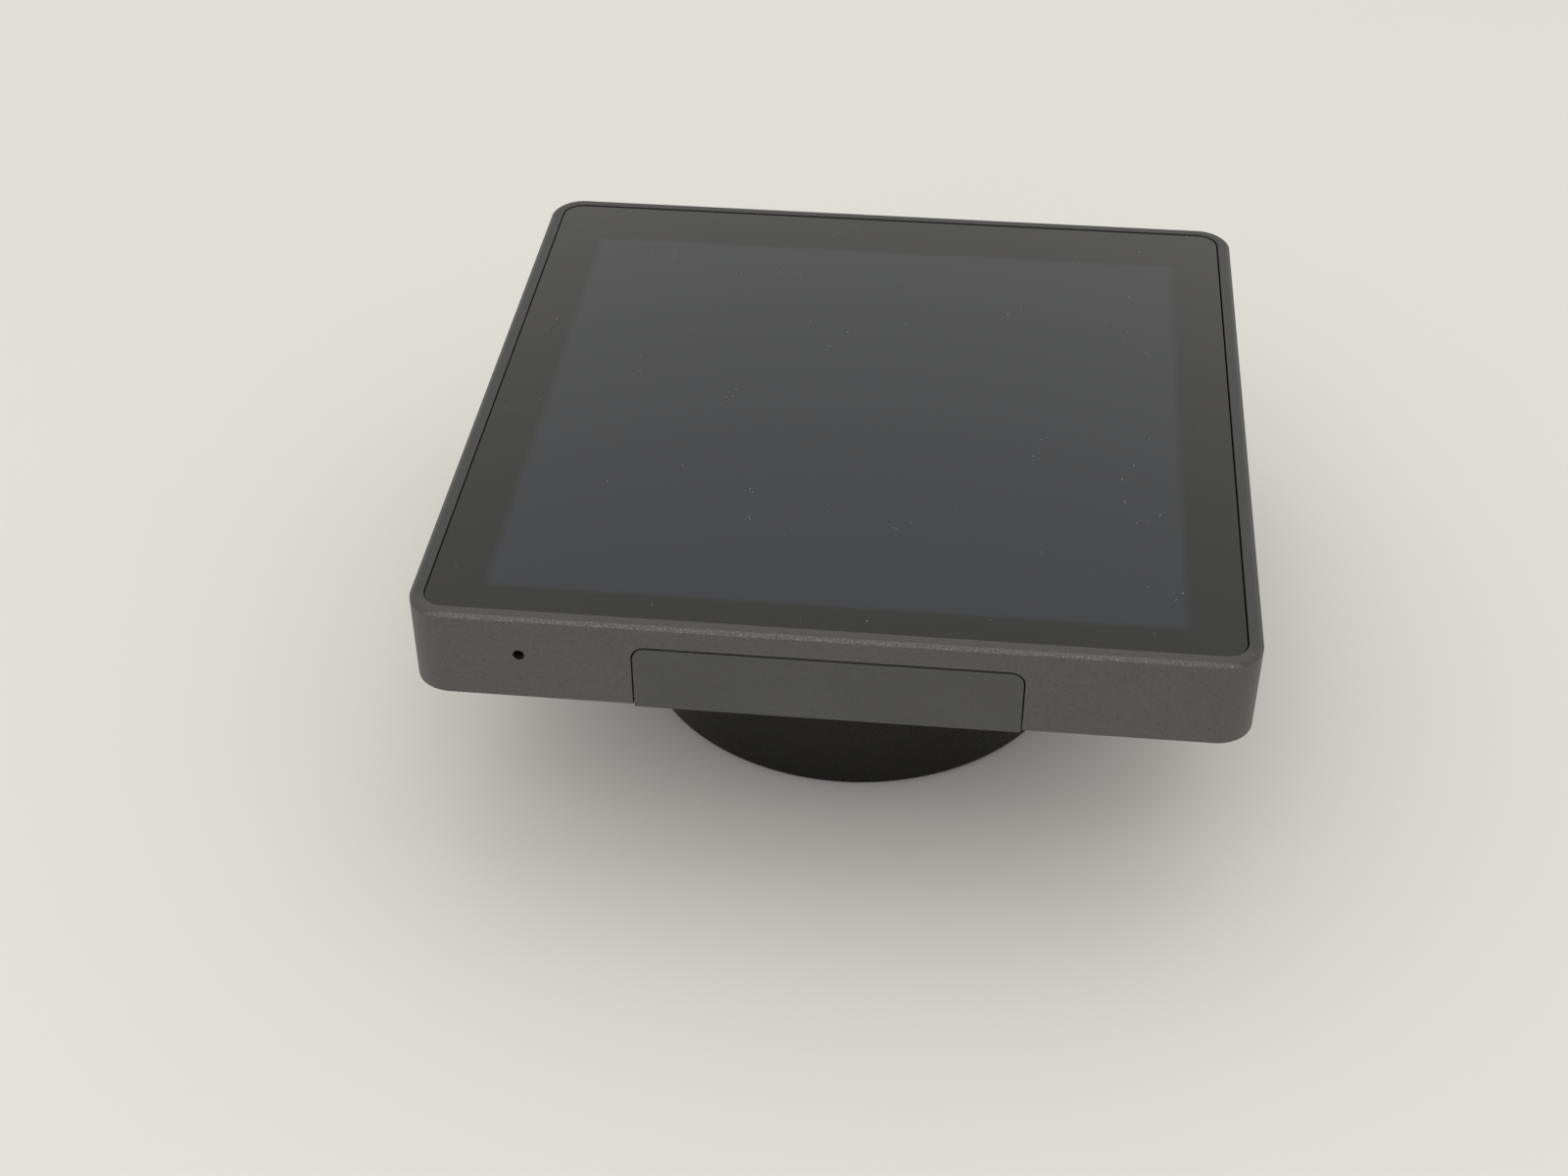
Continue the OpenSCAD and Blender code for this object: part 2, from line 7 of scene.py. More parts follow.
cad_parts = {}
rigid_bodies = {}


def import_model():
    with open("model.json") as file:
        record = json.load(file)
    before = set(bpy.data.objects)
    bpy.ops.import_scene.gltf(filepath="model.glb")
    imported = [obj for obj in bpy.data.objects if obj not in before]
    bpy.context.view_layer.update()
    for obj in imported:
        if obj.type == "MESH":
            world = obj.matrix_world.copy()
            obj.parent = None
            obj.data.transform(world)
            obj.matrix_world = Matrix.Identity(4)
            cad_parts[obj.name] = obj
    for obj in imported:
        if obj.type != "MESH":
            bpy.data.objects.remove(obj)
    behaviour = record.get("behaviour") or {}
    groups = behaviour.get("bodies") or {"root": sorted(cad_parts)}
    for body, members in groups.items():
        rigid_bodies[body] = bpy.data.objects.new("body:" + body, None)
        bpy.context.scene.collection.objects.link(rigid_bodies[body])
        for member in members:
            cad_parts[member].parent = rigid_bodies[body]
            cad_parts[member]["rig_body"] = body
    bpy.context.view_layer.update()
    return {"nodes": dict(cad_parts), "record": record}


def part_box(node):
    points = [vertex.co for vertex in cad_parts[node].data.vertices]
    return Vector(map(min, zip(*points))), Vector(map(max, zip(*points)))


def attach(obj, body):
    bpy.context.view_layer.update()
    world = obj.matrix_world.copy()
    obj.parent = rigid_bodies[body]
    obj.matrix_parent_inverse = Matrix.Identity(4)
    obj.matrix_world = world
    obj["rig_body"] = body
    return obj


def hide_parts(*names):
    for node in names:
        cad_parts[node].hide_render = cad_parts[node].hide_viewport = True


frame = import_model()
nodes = frame["nodes"]
mm = 0.001
print("frame loaded:", len(nodes), "nodes")


class Wire:
    # an output socket; arithmetic on it adds Math nodes
    def __init__(self, graph, socket):
        self.graph, self.socket = graph, socket

    def out(self, name):
        return Wire(self.graph, self.socket.node.outputs[name])

    def apply(self, operation, *others, clamp=False):
        settings = {"operation": operation, "use_clamp": clamp}
        return self.graph.add("ShaderNodeMath", settings, dict(enumerate((self,) + others)))

    def __add__(self, other):
        return self.apply("ADD", other)

    def __sub__(self, other):
        return self.apply("SUBTRACT", other)

    def __rsub__(self, other):
        return self.graph.add("ShaderNodeMath", {"operation": "SUBTRACT"}, {0: other, 1: self})

    def __mul__(self, other):
        return self.apply("MULTIPLY", other)

    def __truediv__(self, other):
        return self.apply("DIVIDE", other)

    __radd__ = __add__
    __rmul__ = __mul__


class Graph:
    # adds nodes to a tree: a node's settings are made first, then the values or links of its sockets
    def __init__(self, tree):
        self.tree = tree

    def add(self, kind, settings=None, values=None):
        node = self.tree.nodes.new(kind)
        for key, value in (settings or {}).items():
            setattr(node, key, value)
        for key, value in (values or {}).items():
            if isinstance(value, Wire):
                self.tree.links.new(value.socket, node.inputs[key])
            else:
                node.inputs[key].default_value = value
        return Wire(self, node.outputs[0]) if node.outputs else None


class Finish(Graph):
    # a material's tree, with the patterns that most finishes share
    def __init__(self, name):
        self.material = bpy.data.materials.new(name)
        self.material.use_nodes = True
        super().__init__(self.material.node_tree)
        self.tree.nodes.clear()
        self.place = self.add("ShaderNodeTexCoord").out("Object")
        self.axes = self.add("ShaderNodeSeparateXYZ", None, {0: self.place})

    def noise(self, size, detail=2.0, rough=0.5, place=None, stretch=(1, 1, 1)):
        at = self.add("ShaderNodeVectorMath", {"operation": "MULTIPLY"},
                      {0: place or self.place, 1: [s / (size * mm) for s in stretch]})
        return self.add("ShaderNodeTexNoise", None,
                        {"Vector": at, "Scale": 1.0, "Detail": detail, "Roughness": rough})

    def fade(self, value, width):
        # 0 to 1 across a short width that is centred where the value is nought
        return (value / (width * mm)).apply("ADD", 0.5, clamp=True)

    def specks(self, spacing, share):
        # small spots, one in some of the cells, as 0 or 1
        at = self.add("ShaderNodeVectorMath", {"operation": "MULTIPLY"},
                      {0: self.place, 1: [1 / (spacing * mm)] * 3})
        cell = self.add("ShaderNodeTexVoronoi", {"feature": "F1"}, {"Vector": at, "Scale": 1.0})
        return cell.apply("LESS_THAN", share)

    def mix(self, factor, a, b):
        def rgba(c):
            return c if isinstance(c, Wire) else (*c, 1)
        wire = self.add("ShaderNodeMix", {"data_type": "RGBA"},
                        {0: factor, 6: rgba(a), 7: rgba(b)})
        return Wire(self, wire.socket.node.outputs[2])

    def bump(self, height, depth):
        return self.add("ShaderNodeBump", None, {"Strength": 1.0, "Distance": depth * mm, "Height": height})

    def done(self, sockets):
        values = {k: (*v, 1) if isinstance(v, tuple) and len(v) == 3 else v for k, v in sockets.items()}
        shader = self.add("ShaderNodeBsdfPrincipled", None, values)
        self.add("ShaderNodeOutputMaterial", None, {"Surface": shader})
        return self.material


casingLook = {  # sizes in millimetres
    "grey": (0.086, 0.0845, 0.0785), "shade": (0.076, 0.0748, 0.0695),
    "hatchGrey": (0.0705, 0.0715, 0.0675), "hatchShade": (0.0605, 0.0615, 0.058),
    # the light colour at the end of the next line is painted highlight, glints on the front bevel
    "grainDark": (0.052, 0.051, 0.047), "paintedGlint": (0.225, 0.218, 0.204),
    # painted shade: the first colour on the next line darkens the flat top lip, the second darkens the lip
    # and bevel away from the front
    "lip": (0.047, 0.0462, 0.0435), "lipPaintedShade": (0.03, 0.0305, 0.028), "lipShare": 0.8,
    # the first colour on the next line is painted shade on the pinhole's wall
    "holePaintedShade": (0.003, 0.003, 0.003), "holeRadius": 0.6, "holeRough": 0.4,
    "coarse": 0.3, "fine": 0.085, "glint": 0.16, "glintStretch": (1, 0.45, 1), "cloud": 9,
    "darkFrom": 0.48, "darkGain": 2.6, "glintFrom": 0.52, "glintGain": 7.0,
    "bevelWide": 0.45, "bevelDrop": 0.35, "dropFade": 0.04, "wideFade": 0.12,
    "frontFrom": 3.6, "frontFade": 1.6, "paintedGlintShare": 0.75, "wornPolish": 0.06,
    "rough": (0.44, 0.6), "specular": 0.36, "relief": 0.018,
    "coarseRise": 0.6, "bevelRise": 1.8, "fineRise": 0.5, "grainRise": 0.8,
}


def casingPlastic(name, grey, shade):
    f = Finish(name)
    look = casingLook
    coarse = f.noise(look["coarse"], 3, 0.6)
    fine = f.noise(look["fine"], 2)
    glints = f.noise(look["glint"], 2, 0.7, stretch=look["glintStretch"])
    cloud = f.noise(look["cloud"], 2)
    x, y, z = (f.axes.out(axis) for axis in "XYZ")
    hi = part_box("housing")[1]
    # a flat lip lies round the glass, and a bevel round that
    side = x.apply("ABSOLUTE").apply("MAXIMUM", y.apply("ABSOLUTE"))
    above = f.fade(z - (hi.z - look["bevelDrop"] * mm), look["dropFade"])
    beyond = f.fade(side - (hi.x - look["bevelWide"] * mm), look["wideFade"])
    bevel = above * beyond
    lip = above * (1 - beyond)
    # the strip along the front of the rim, where the bevel gets painted highlight glints
    front = (y * -1.0 - (hi.y - look["frontFrom"] * mm)) / (look["frontFade"] * mm)
    front = front.apply("ADD", 0.0, clamp=True)
    # painted shade: the pinhole's wall is coloured as black as the plunger at its end
    pin = sum(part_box("reset_plunger"), Vector()) / 2
    across, up = x - pin.x, z - pin.z
    holePaintedShade = (across * across + up * up).apply("LESS_THAN", (look["holeRadius"] * mm) ** 2) * front
    grains = (glints - look["glintFrom"]).apply("MULTIPLY", look["glintGain"], clamp=True)
    dark = (coarse - look["darkFrom"]).apply("MULTIPLY", look["darkGain"], clamp=True)
    color = f.mix(dark, f.mix(cloud, grey, shade), look["grainDark"])
    # painted shade: the flat top lip is coloured darker than the front face of the same plastic
    color = f.mix(lip * look["lipShare"], color, look["lip"])
    # painted shade: the lip and bevel are coloured darker along the sides and back than along the front
    color = f.mix(above * (1 - front) * look["lipShare"], color, look["lipPaintedShade"])
    # painted highlight: bright glints on the bevel along the front
    color = f.mix(bevel * front * grains * look["paintedGlintShare"], color, look["paintedGlint"])
    # painted shade: black inside the pinhole
    color = f.mix(holePaintedShade, color, look["holePaintedShade"])
    low, high = look["rough"]
    rough = low + fine * (high - low) - bevel * look["wornPolish"] + holePaintedShade * look["holeRough"]
    height = coarse * (look["coarseRise"] + bevel * look["bevelRise"])
    height = height + fine * look["fineRise"] + grains * bevel * look["grainRise"]
    return f.done({"Base Color": color, "Roughness": rough, "Specular IOR Level": look["specular"],
                   "Normal": f.bump(height, look["relief"])})


screenLook = {  # sizes in millimetres
    "border": (0.0042, 0.0038, 0.0034), "display": (0.0150, 0.0168, 0.0205), "dust": (0.32, 0.32, 0.31),
    "litX": (-35.6, 35.55), "litY": (-37.5, 33.4), "blur": 0.9,
    "rough": (0.025, 0.06), "refraction": 1.5,
    "smear": 16, "smearStretch": (1, 0.5, 1), "smearDepth": 0.0005,
    "patch": 9, "dustFrom": 0.5, "dustSpacing": 3.1, "dustShare": 0.03,
    "hairFrom": 0.6, "hairSlim": 11, "hairBend": 3, "hairStrength": 0.6,
    "hairs": ((0.5, 7.5, 0.05), (-0.9, 8.5, 0.045)),  # turn, spacing and share of each lie
    "markStrength": 0.6, "markRough": 0.3,
}


def fibres(f, turn, spacing, share):
    # short thin hairs lying one way, one in some of the long cells
    at = f.add("ShaderNodeVectorRotate", {"rotation_type": "Z_AXIS"}, {"Vector": f.place, "Angle": turn})
    dense = 1 / (spacing * mm)
    at = f.add("ShaderNodeVectorMath", {"operation": "MULTIPLY"},
               {0: at, 1: (dense, screenLook["hairSlim"] * dense, dense)})
    bend = f.noise(screenLook["hairBend"], 1)
    at = f.add("ShaderNodeVectorMath", {"operation": "ADD"}, {0: at, 1: bend})
    cell = f.add("ShaderNodeTexVoronoi", {"feature": "F1"}, {"Vector": at, "Scale": 1.0})
    return cell.apply("LESS_THAN", share)


def screenGlass(name):
    f = Finish(name)
    look = screenLook
    x, y = f.axes.out("X"), f.axes.out("Y")
    left, right = (v * mm for v in look["litX"])
    near, far = (v * mm for v in look["litY"])
    acrossEdge = (x - left).apply("MINIMUM", right - x)
    edge = acrossEdge.apply("MINIMUM", y - near).apply("MINIMUM", far - y)
    inside = f.fade(edge, look["blur"])
    smear = f.noise(look["smear"], 4, 0.6, stretch=look["smearStretch"])
    patch = f.noise(look["patch"], 1)
    dust = f.specks(look["dustSpacing"], look["dustShare"]) * patch.apply("GREATER_THAN", look["dustFrom"])
    one, other = (fibres(f, *lie) for lie in look["hairs"])
    hairs = one.apply("MAXIMUM", other) * patch.apply("GREATER_THAN", look["hairFrom"])
    marks = dust.apply("MAXIMUM", hairs * look["hairStrength"])
    color = f.mix(inside, look["border"], look["display"])
    color = f.mix(marks * look["markStrength"], color, look["dust"])
    low, high = look["rough"]
    rough = low + smear * (high - low) + marks * look["markRough"]
    return f.done({"Base Color": color, "Roughness": rough, "IOR": look["refraction"],
                   "Normal": f.bump(smear, look["smearDepth"])})


brushStretch = (0.06, 1, 1)  # brushed grain is drawn out along x


def plainFinish(name, color, tint, mottle, grain, relief, rough, metal=0.0, pattern=None, more=None):
    # a moulded, cast, turned or brushed surface: mottled colour, grain in roughness and in relief
    f = Finish(name)
    place, stretch = None, (1, 1, 1)
    if pattern == "turned":
        x, y = f.axes.out("X"), f.axes.out("Y")
        radius = (x * x + y * y).apply("SQRT")
        place = f.add("ShaderNodeCombineXYZ", None, {0: radius, 1: 0.0, 2: f.axes.out("Z")})
    if pattern == "brushed":
        stretch = brushStretch
    grains = f.noise(grain, 3, place=place, stretch=stretch)
    patches = f.noise(mottle, 2)
    lo, hi = rough
    sockets = {"Base Color": f.mix(patches, color, tint), "Roughness": lo + grains * (hi - lo),
               "Metallic": metal, "Normal": f.bump(grains, relief)}
    return f.done({**sockets, **(more or {})})


plainLooks = {
    # colour, its tint, then in millimetres the mottling's size, the grain's size and the relief,
    # then the least and most roughness, and where they differ from none: metal, pattern, other sockets
    "coverPlastic": ((0.05, 0.05, 0.047), (0.042, 0.042, 0.04), 8, 0.22, 0.012, (0.5, 0.68)),
    "basePlastic": ((0.003, 0.0029, 0.003), (0.0022, 0.0022, 0.0022),
                    11, 0.16, 0.003, (0.24, 0.31), 0.0, None, {"Specular IOR Level": 0.42}),
    "buttonPlastic": ((0.05, 0.05, 0.048), (0.04, 0.04, 0.039), 3, 0.1, 0.004, (0.35, 0.45)),
    "blackNylon": ((0.012, 0.012, 0.012), (0.016, 0.016, 0.016), 2, 0.08, 0.003, (0.4, 0.55)),
    # the plunger's black is its own, made darker still as painted shade at the bottom of the pinhole
    "plungerBlack": ((0.004, 0.004, 0.004), (0.006, 0.006, 0.006),
                     1, 0.06, 0.003, (0.6, 0.75), 0.0, None, {"Specular IOR Level": 0.2}),
    "sealRubber": ((0.012, 0.012, 0.012), (0.018, 0.018, 0.017), 2, 0.12, 0.004, (0.62, 0.8)),
    "footRubber": ((0.011, 0.011, 0.011), (0.02, 0.02, 0.019), 5, 0.3, 0.012, (0.7, 0.88)),
    "acetal": ((0.74, 0.72, 0.64), (0.68, 0.66, 0.58), 4, 0.15, 0.002, (0.26, 0.36), 0.0, "turned"),
    "creamNylon": ((0.7, 0.66, 0.55), (0.62, 0.58, 0.48), 2, 0.08, 0.003, (0.4, 0.52)),
    "turnedSteel": ((0.5, 0.51, 0.52), (0.42, 0.43, 0.44), 3, 0.05, 0.002, (0.2, 0.38), 1.0, "turned"),
    "sheetSteel": ((0.58, 0.59, 0.6), (0.5, 0.5, 0.5), 6, 0.1, 0.002, (0.25, 0.42), 1.0, "brushed"),
    "blackSteel": ((0.045, 0.045, 0.048), (0.03, 0.03, 0.032), 1.5, 0.07, 0.003, (0.3, 0.46), 0.8),
    "castIron": ((0.06, 0.06, 0.064), (0.09, 0.085, 0.08), 2.5, 0.4, 0.05, (0.55, 0.8), 0.6),
    "brass": ((0.72, 0.52, 0.22), (0.62, 0.42, 0.16), 2, 0.06, 0.002, (0.22, 0.36), 1.0, "turned"),
    "solderMask": ((0.008, 0.075, 0.032), (0.014, 0.12, 0.05), 2.2, 0.5, 0.006, (0.22, 0.34)),
    "chipEpoxy": ((0.016, 0.016, 0.018), (0.024, 0.024, 0.026), 1.2, 0.06, 0.004, (0.5, 0.66)),
    "goldPlate": ((0.78, 0.57, 0.2), (0.7, 0.48, 0.16), 4, 0.12, 0.002, (0.2, 0.34), 1.0, "brushed"),
    "tinPlate": ((0.66, 0.66, 0.67), (0.56, 0.56, 0.57), 3, 0.1, 0.002, (0.2, 0.36), 1.0, "brushed"),
    "polyimide": ((0.42, 0.15, 0.03), (0.34, 0.11, 0.02), 2, 0.3, 0.002, (0.25, 0.35)),
    "copper": ((0.78, 0.38, 0.22), (0.68, 0.3, 0.16), 2, 0.1, 0.001, (0.22, 0.38), 1.0),
    "ferrite": ((0.035, 0.034, 0.034), (0.05, 0.048, 0.046), 1.4, 0.15, 0.006, (0.55, 0.7)),
    "displayCell": ((0.012, 0.014, 0.017), (0.016, 0.018, 0.022), 12, 0.4, 0.0005, (0.08, 0.16)),
    "clearFilm": ((0.03, 0.032, 0.036), (0.036, 0.038, 0.042), 14, 0.5, 0.0005, (0.06, 0.14)),
    "aluminium": ((0.68, 0.69, 0.7), (0.6, 0.6, 0.61), 7, 0.12, 0.002, (0.28, 0.42), 1.0, "brushed"),
    "meshCloth": ((0.01, 0.01, 0.01), (0.025, 0.025, 0.025),
                  0.25, 0.1, 0.02, (0.8, 0.95), 0.0, None, {"Sheen Weight": 0.3}),
}

finishes = {
    "casing": casingPlastic("casing", casingLook["grey"], casingLook["shade"]),
    "hatchCasing": casingPlastic("hatchCasing", casingLook["hatchGrey"], casingLook["hatchShade"]),
    "screenGlass": screenGlass("screenGlass"),
}
for name, look in plainLooks.items():
    finishes[name] = plainFinish(name, *look)
print("finishes made:", len(finishes))

nodeFinish = {
    "housing": "casing", "cover_glass": "screenGlass", "glass_adhesive": "sealRubber",
    "touch_film": "clearFilm", "lcd_panel": "displayCell", "backlight": "aluminium",
    "display_flex": "polyimide", "touch_flex": "polyimide", "nfc_antenna": "copper",
    "nfc_ferrite": "ferrite", "main_board": "solderMask", "board_chips": "chipEpoxy",
    "security_cage": "goldPlate", "radio_shield": "tinPlate", "flex_connectors": "creamNylon",
    "backup_cell_holder": "creamNylon", "backup_cell": "tinPlate", "tamper_contacts": "sealRubber",
    "sim_socket": "tinPlate", "memory_card_socket": "tinPlate", "service_port": "tinPlate",
    "power_inlet": "tinPlate", "speaker": "blackNylon", "speaker_mesh": "meshCloth",
    "reset_switch": "tinPlate", "reset_plunger": "plungerBlack", "power_switch": "tinPlate",
    "power_button": "buttonPlastic", "rear_cover": "coverPlastic", "rear_cover_screws": "blackSteel",
    "board_screws": "turnedSteel", "hatch": "hatchCasing", "hatch_seal": "sealRubber",
    "hatch_pins": "blackSteel", "spindle": "turnedSteel", "spindle_screws": "blackSteel",
    "wave_washer": "turnedSteel", "retaining_ring": "blackSteel", "base_shell": "basePlastic",
    "swivel_bush": "acetal", "thrust_washer": "turnedSteel", "glide_ring": "acetal",
    "stop_pin": "turnedSteel", "ballast": "castIron", "base_plate": "sheetSteel",
    "base_screws": "blackSteel", "foot_pad": "footRubber", "fixing_insert": "brass",
}
for nodeName, finish in nodeFinish.items():
    data = nodes[nodeName].data
    data.materials.clear()
    data.materials.append(finishes[finish])


def bodyOf(nodeName):
    return nodes[nodeName]["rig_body"]


def slotOf(nodeName):
    rows = frame["record"]["subparts"]
    return next(row["material_slot"] for row in rows if row["node"] == nodeName)


def standIn(piece, nodeName):
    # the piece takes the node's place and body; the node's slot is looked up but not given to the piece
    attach(piece, bodyOf(nodeName))
    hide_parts(nodeName)
    slotOf(nodeName)


def newPiece(name, mesh, finish):
    piece = bpy.data.objects.new(name, mesh)
    bpy.context.scene.collection.objects.link(piece)
    mesh.materials.clear()
    mesh.materials.append(finishes[finish])
    return piece


edgeBreaks = {  # width in millimetres of the broken edges of each moulded, pressed or turned piece
    "housing": 0.16, "hatch": 0.05, "rear_cover": 0.12, "power_button": 0.2, "base_shell": 0.15,
    "spindle": 0.15, "base_plate": 0.1, "glide_ring": 0.1, "hatch_seal": 0.2, "power_inlet": 0.05,
    "service_port": 0.05, "sim_socket": 0.06, "memory_card_socket": 0.06, "fixing_insert": 0.12,
}


edgeWork = {  # sizes in millimetres, angles in degrees
    "weld": 0.0005, "flatWithin": 0.5, "sharpFrom": 24, "segments": 2,
    "skin": 0.75, "topShare": 0.6,  # depth of the housing's skin at its sides, and its share of that on top
    "corner": 3.9, "rimReach": 0.1, "topReach": 0.01, "crispShare": 0.18,
}


def onSkin(point, lo, hi):
    near = edgeWork["skin"] * mm
    return (min(point.x - lo.x, hi.x - point.x, point.y - lo.y, hi.y - point.y) < near
            or hi.z - point.z < near * edgeWork["topShare"])


def insetOf(point, hi):
    # distance in from the head's rounded outline
    radius = edgeWork["corner"] * mm
    dx = abs(point.x) - (hi.x - radius)
    dy = abs(point.y) - (hi.y - radius)
    if dx > 0 and dy > 0:
        return radius - math.hypot(dx, dy)
    return radius - max(dx, dy)


def onBevelTop(edge, hi):
    inset = (casingLook["bevelWide"] + edgeWork["rimReach"]) * mm
    top = hi.z - edgeWork["topReach"] * mm
    return all(v.co.z > top and insetOf(v.co, hi) < inset for v in edge.verts)


def breakShare(nodeName, edge, lo, hi):
    # all sharp edges are broken, but on the housing only the ones on its skin, and of those only the
    # inner edge of the rim's bevel is well rounded
    if nodeName != "housing" or onBevelTop(edge, hi):
        return 1.0
    return edgeWork["crispShare"] if all(onSkin(v.co, lo, hi) for v in edge.verts) else 0.0


def edgeBroken(nodeName, width):
    mesh = bpy.data.meshes.new(nodeName + "Body")
    bm = bmesh.new()
    bm.from_mesh(nodes[nodeName].data)
    bmesh.ops.remove_doubles(bm, verts=bm.verts, dist=edgeWork["weld"] * mm)
    flat, sharpFrom = math.radians(edgeWork["flatWithin"]), math.radians(edgeWork["sharpFrom"])
    bmesh.ops.dissolve_limit(bm, angle_limit=flat, verts=bm.verts, edges=bm.edges)
    weight = bm.edges.layers.float.new("bevel_weight_edge")
    lo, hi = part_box(nodeName)
    for face in bm.faces:
        face.smooth = True
    for edge in bm.edges:
        sharp = len(edge.link_faces) == 2 and edge.calc_face_angle(0) > sharpFrom
        share = breakShare(nodeName, edge, lo, hi) if sharp else 0.0
        edge[weight] = share
        edge.smooth = share > 0 or not sharp
    bm.to_mesh(mesh)
    bm.free()
    piece = newPiece(nodeName + "Body", mesh, nodeFinish[nodeName])
    bevel = piece.modifiers.new("edges", "BEVEL")
    bevel.width = width * mm
    bevel.segments = edgeWork["segments"]
    bevel.limit_method = "WEIGHT"
    bevel.use_clamp_overlap = False
    bevel.loop_slide = False
    normals = piece.modifiers.new("normals", "WEIGHTED_NORMAL")
    normals.keep_sharp = True
    standIn(piece, nodeName)


for nodeName, width in edgeBreaks.items():
    edgeBroken(nodeName, width)
print("moulded pieces made:", len(edgeBreaks))


def roundedLoop(bm, half, radius, z, perCorner=16):
    loop = []
    reach = half - radius
    for quarter, (sx, sy) in enumerate(((1, 1), (-1, 1), (-1, -1), (1, -1))):
        for step in range(perCorner + 1):
            a = math.pi / 2 * (quarter + step / perCorner)
            x, y = sx * reach + radius * math.cos(a), sy * reach + radius * math.sin(a)
            loop.append(bm.verts.new((x, y, z)))
    return loop


def loftedSlab(name, sections):
    # sections from the bottom up: half width, corner radius, height
    bm = bmesh.new()
    loops = [roundedLoop(bm, *s) for s in sections]
    for low, high in zip(loops, loops[1:]):
        for i in range(len(low)):
            j = (i + 1) % len(low)
            bm.faces.new((low[i], low[j], high[j], high[i]))
    bm.faces.new(reversed(loops[0]))
    bm.faces.new(loops[-1])
    for face in bm.faces:
        face.smooth = len(face.verts) == 4
    mesh = bpy.data.meshes.new(name)
    bm.to_mesh(mesh)
    bm.free()
    return mesh


glassEdge = {  # in millimetres
    "corner": 2.33, "round": 0.1, "underBreak": 0.08, "steps": 4,
    "sit": -0.04,  # the pane sits a hair left of the middle of its pocket
}


def coverGlass():
    lo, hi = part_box("cover_glass")
    half, radius = hi.x, glassEdge["corner"] * mm
    r, u = glassEdge["round"] * mm, glassEdge["underBreak"] * mm
    sections = [(half - u, radius - u, lo.z), (half, radius, lo.z + u)]
    for step in range(glassEdge["steps"] + 1):
        a = math.pi / 2 * step / glassEdge["steps"]
        inset = r * (1 - math.cos(a))
        sections.append((half - inset, radius - inset, hi.z - r + r * math.sin(a)))
    slab = loftedSlab("coverGlass", sections)
    for vertex in slab.vertices:
        vertex.co.x += glassEdge["sit"] * mm
    standIn(newPiece("coverGlass", slab, "screenGlass"), "cover_glass")


coverGlass()
print("glass made")


class Recipe(Graph):
    # what repeats, such as screws, contacts and studs: a Geometry Nodes tree with named inputs, grown on a
    # carrier mesh that holds one point for each place
    def __init__(self, name, sizes):
        super().__init__(bpy.data.node_groups.new(name, "GeometryNodeTree"))
        new = self.tree.interface.new_socket
        new("Geometry", in_out="INPUT", socket_type="NodeSocketGeometry")
        new("Geometry", in_out="OUTPUT", socket_type="NodeSocketGeometry")
        self.sizes, self.keys = sizes, {}
        for label in sizes:
            self.keys[label] = new(label, in_out="INPUT", socket_type="NodeSocketFloat").identifier
        self.entry = self.add("NodeGroupInput")

    def size(self, label):
        return self.entry.out(label)

    def moved(self, geometry, place):
        at = self.add("ShaderNodeCombineXYZ", None, dict(enumerate(place)))
        return self.add("GeometryNodeTransform", None, {"Geometry": geometry, "Translation": at})

    def joined(self, *parts):
        whole = self.add("GeometryNodeJoinGeometry")
        for part in parts:
            self.tree.links.new(part.socket, whole.socket.node.inputs[0])
        return whole

    def drum(self, radius, depth, sides, low):
        shape = self.add("GeometryNodeMeshCylinder", None,
                         {"Vertices": sides, "Radius": radius, "Depth": depth})
        return self.moved(shape, (0.0, 0.0, low + depth * 0.5))

    def taper(self, top, bottom, depth, sides, low):
        shape = self.add("GeometryNodeMeshCone", None,
                         {"Vertices": sides, "Radius Top": top, "Radius Bottom": bottom, "Depth": depth})
        return self.moved(shape, (0.0, 0.0, low))

    def cut(self, body, tool):
        return self.add("GeometryNodeMeshBoolean", {"operation": "DIFFERENCE"},
                        {"Mesh 1": body, "Mesh 2": tool})

    def atPoints(self, shape):
        return self.add("GeometryNodeInstanceOnPoints", None, {"Points": self.entry, "Instance": shape})

    def grow(self, name, places, finish, geometry):
        solid = self.add("GeometryNodeRealizeInstances", None, {0: geometry})
        ready = self.add("GeometryNodeSetMaterial", None, {"Geometry": solid, "Material": finishes[finish]})
        self.add("NodeGroupOutput", None, {"Geometry": ready})
        points = bpy.data.meshes.new(name + "Points")
        points.from_pydata([[c * mm for c in p] for p in places], [], [])
        carrier = bpy.data.objects.new(name, points)
        bpy.context.scene.collection.objects.link(carrier)
        modifier = carrier.modifiers.new(name, "NODES")
        modifier.node_group = self.tree
        for label, value in self.sizes.items():
            modifier[self.keys[label]] = value
        bpy.context.view_layer.update()
        grown = carrier.evaluated_get(bpy.context.evaluated_depsgraph_get())
        mesh = bpy.data.meshes.new_from_object(grown)
        carrier.modifiers.clear()
        carrier.data = mesh
        return carrier


def ringPlaces(radius, count, start, z):
    turns = [math.radians(start + i * 360 / count) for i in range(count)]
    return [(radius * math.cos(a), radius * math.sin(a), z) for a in turns]


screwSets = {  # places in plan, then head radius and height, shank radius and thread pitch, in millimetres
    "rear_cover_screws": ([(x, y, 0) for x in (-36.5, 36.5) for y in (-36.5, 36.5)], 1.75, 0.8, 0.8, 0.35),
    "board_screws": ([(-33, -24, 0), (33, -24, 0), (-33, 30, 0), (33, 12, 0)], 1.6, 0.9, 0.8, 0.35),
    "spindle_screws": (ringPlaces(8.6, 3, 30, 0), 1.8, 0.7, 0.8, 0.35),
    "base_screws": (ringPlaces(18, 3, 90, 0), 2.3, 1.0, 1.0, 0.45),
}


screwCut = {  # lengths in millimetres
    "breakShare": 0.09, "socketWide": 0.48, "socketDeep": 0.55,  # shares of the head's radius or height
    "coreCut": 0.16, "thread": 0.15, "threadGap": 0.15, "turnsShort": 0.5,
    "headSides": 40, "socketSides": 6, "shankSides": 20, "threadSides": 4,
}


